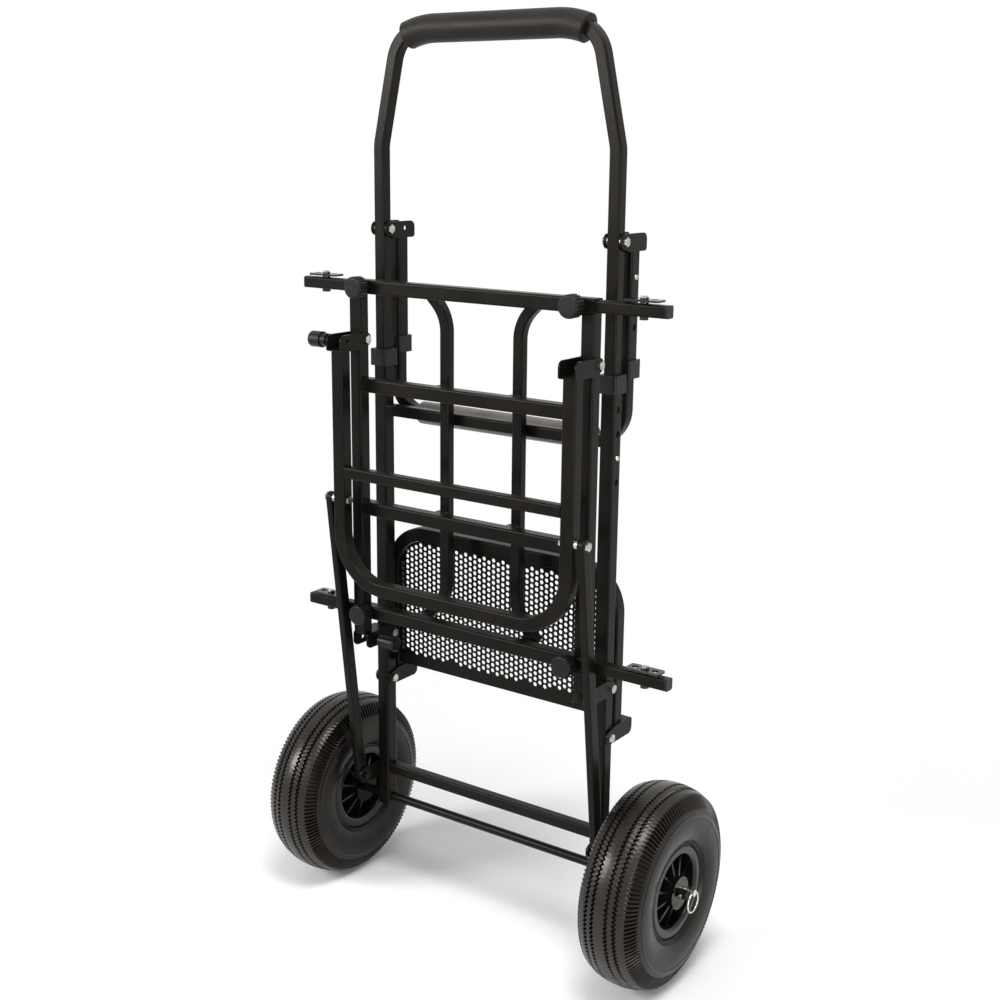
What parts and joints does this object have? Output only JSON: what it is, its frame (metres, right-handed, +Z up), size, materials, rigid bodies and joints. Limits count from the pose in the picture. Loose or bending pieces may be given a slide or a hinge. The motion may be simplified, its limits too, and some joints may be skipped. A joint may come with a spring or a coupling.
{
  "type": "hand truck",
  "caption": "Folding hand truck with air-filled wheels, a sliding padded handle, a drop-down deck on a linked stand, sliding tie-down arms and a perforated shelf.",
  "frame": {"origin": "On the floor midway between the wheels, under the axle", "axes": "+X to the right along the axle, +Y to the back where the shelf is, +Z up"},
  "size_m": [0.62, 0.26, 1.1842],
  "materials": {
    "steel": "satin black powder coat",
    "zinc": "bright zinc plate",
    "cleat": "satin black",
    "plastic": "moulded black",
    "tyre": "matt black rubber",
    "foam": "matt black foam",
    "pad": "satin grey tube"
  },
  "bodies": {
    "chassis": {"left_post": "steel", "right_post": "steel", "post_collars": "plastic", "crossbars": "steel", "axle": "steel", "axle_fasteners": "zinc", "stay_bolts": "steel"},
    "left_wheel": {"left_tyre": "tyre", "left_rim": "plastic"},
    "right_wheel": {"right_tyre": "tyre", "right_rim": "plastic"},
    "handle": {"handle_tube": "steel", "handle_grip": "foam"},
    "left_handle_snap": {"left_handle_button": "zinc"},
    "right_handle_snap": {"right_handle_button": "zinc"},
    "rear_frame": {"left_rear_sleeve": "steel", "right_rear_sleeve": "steel", "rear_collars": "plastic", "rear_bolts": "zinc"},
    "rear_extension": {"rear_loop": "steel", "rear_pad": "pad"},
    "left_rear_snap": {"left_rear_button": "zinc"},
    "right_rear_snap": {"right_rear_button": "zinc"},
    "deck": {"deck_left_leg": "steel", "deck_right_leg": "steel", "deck_top_sleeve": "steel", "deck_bottom_sleeve": "steel", "deck_bars": "steel", "deck_left_rail": "steel", "deck_right_rail": "steel", "deck_brackets": "steel", "deck_bolts": "zinc"},
    "deck_lock": {"deck_plunger": "plastic"},
    "stand": {"stand_loop": "steel", "stand_bar": "steel", "stand_brackets": "steel", "stand_bolts": "zinc"},
    "stand_lock": {"stand_plunger": "plastic"},
    "left_stay": {"left_stay": "steel"},
    "right_stay": {"right_stay": "steel"},
    "shelf": {"shelf_frame": "steel", "shelf_sheet": "steel", "shelf_brackets": "steel", "shelf_bolts": "zinc"},
    "upper_left_arm": {"upper_left_arm": "steel", "upper_left_cap": "plastic", "upper_left_cleat": "cleat"},
    "upper_left_knob": {"upper_left_knob": "plastic"},
    "upper_right_arm": {"upper_right_arm": "steel", "upper_right_cap": "plastic", "upper_right_cleat": "cleat"},
    "upper_right_knob": {"upper_right_knob": "plastic"},
    "lower_left_arm": {"lower_left_arm": "steel", "lower_left_cap": "plastic", "lower_left_cleat": "cleat"},
    "lower_left_knob": {"lower_left_knob": "plastic"},
    "lower_right_arm": {"lower_right_arm": "steel", "lower_right_cap": "plastic", "lower_right_cleat": "cleat"},
    "lower_right_knob": {"lower_right_knob": "plastic"}
  },
  "joints": [
    {"name": "left_wheel_spin", "type": "hinge", "parent": "chassis", "child": "left_wheel", "pos_m": [-0.255, 0, 0.13], "axis": [1, 0, 0], "continuous": true},
    {"name": "right_wheel_spin", "type": "hinge", "parent": "chassis", "child": "right_wheel", "pos_m": [0.255, 0, 0.13], "axis": [1, 0, 0], "continuous": true},
    {"name": "handle_slide", "type": "slide", "parent": "chassis", "child": "handle", "axis": [0, 0, 1], "range_m": [-0.0295, 0.059], "deforming": ["left_handle_button", "right_handle_button"]},
    {"name": "rear_fold", "type": "hinge", "parent": "handle", "child": "rear_frame", "pos_m": [0, 0, 0.923], "axis": [1, 0, 0], "range_deg": [0, 90]},
    {"name": "rear_slide", "type": "slide", "parent": "rear_frame", "child": "rear_extension", "axis": [0, 0, -1], "range_m": [0, 0.0595], "deforming": ["left_rear_button", "right_rear_button"]},
    {"name": "left_handle_press", "type": "slide", "parent": "handle", "child": "left_handle_snap", "axis": [1, 0, 0], "range_m": [0, 0.0045], "stiffness_N_per_m": 1000},
    {"name": "left_rear_press", "type": "slide", "parent": "rear_extension", "child": "left_rear_snap", "axis": [1, 0, 0], "range_m": [0, 0.0045], "stiffness_N_per_m": 1000},
    {"name": "right_handle_press", "type": "slide", "parent": "handle", "child": "right_handle_snap", "axis": [-1, 0, 0], "range_m": [0, 0.0045], "stiffness_N_per_m": 1000},
    {"name": "right_rear_press", "type": "slide", "parent": "rear_extension", "child": "right_rear_snap", "axis": [-1, 0, 0], "range_m": [0, 0.0045], "stiffness_N_per_m": 1000},
    {"name": "deck_fold", "type": "hinge", "parent": "chassis", "child": "deck", "pos_m": [0, 0, 0.3755], "axis": [1, 0, 0], "range_deg": [0, 90]},
    {"name": "deck_lock_slide", "type": "slide", "parent": "deck", "child": "deck_lock", "axis": [-1, 0, 0], "range_m": [0, 0.004]},
    {"name": "stand_fold", "type": "hinge", "parent": "deck", "child": "stand", "pos_m": [0, -0.049, 0.7855], "axis": [1, 0, 0], "range_deg": [-90, 0]},
    {"name": "stand_lock_slide", "type": "slide", "parent": "stand", "child": "stand_lock", "axis": [1, 0, 0], "range_m": [0, 0.004]},
    {"name": "left_stay_swing", "type": "hinge", "parent": "chassis", "child": "left_stay", "pos_m": [-0.1943, -0.0365, 0.1695], "axis": [1, 0, 0], "range_deg": [0, 90]},
    {"name": "right_stay_swing", "type": "hinge", "parent": "chassis", "child": "right_stay", "pos_m": [0.1943, -0.0365, 0.1695], "axis": [1, 0, 0], "range_deg": [0, 90]},
    {"name": "shelf_fold", "type": "hinge", "parent": "chassis", "child": "shelf", "pos_m": [0, 0, 0.3095], "axis": [1, 0, 0], "range_deg": [-90, 0]},
    {"name": "upper_left_slide", "type": "slide", "parent": "deck", "child": "upper_left_arm", "axis": [-1, 0, 0], "range_m": [-0.039, 0.069]},
    {"name": "upper_left_clamp", "type": "hinge", "parent": "deck", "child": "upper_left_knob", "pos_m": [-0.161, -0.06, 0.8533], "axis": [0, 1, 0], "continuous": true},
    {"name": "upper_right_slide", "type": "slide", "parent": "deck", "child": "upper_right_arm", "axis": [1, 0, 0], "range_m": [-0.053, 0.055]},
    {"name": "upper_right_clamp", "type": "hinge", "parent": "deck", "child": "upper_right_knob", "pos_m": [0.161, -0.06, 0.8533], "axis": [0, 1, 0], "continuous": true},
    {"name": "lower_left_slide", "type": "slide", "parent": "deck", "child": "lower_left_arm", "axis": [-1, 0, 0], "range_m": [-0.023, 0.067]},
    {"name": "lower_left_clamp", "type": "hinge", "parent": "deck", "child": "lower_left_knob", "pos_m": [-0.161, -0.06, 0.4205], "axis": [0, 1, 0], "continuous": true},
    {"name": "lower_right_slide", "type": "slide", "parent": "deck", "child": "lower_right_arm", "axis": [1, 0, 0], "range_m": [-0.0525, 0.0375]},
    {"name": "lower_right_clamp", "type": "hinge", "parent": "deck", "child": "lower_right_knob", "pos_m": [0.161, -0.06, 0.4205], "axis": [0, 1, 0], "continuous": true}
  ],
  "couplings": [
    {"joint": "stand_fold", "follows": "deck_fold", "ratio": -1},
    {"joint": "left_stay_swing", "follows": "deck_fold", "ratio": 1},
    {"joint": "right_stay_swing", "follows": "deck_fold", "ratio": 1}
  ]
}
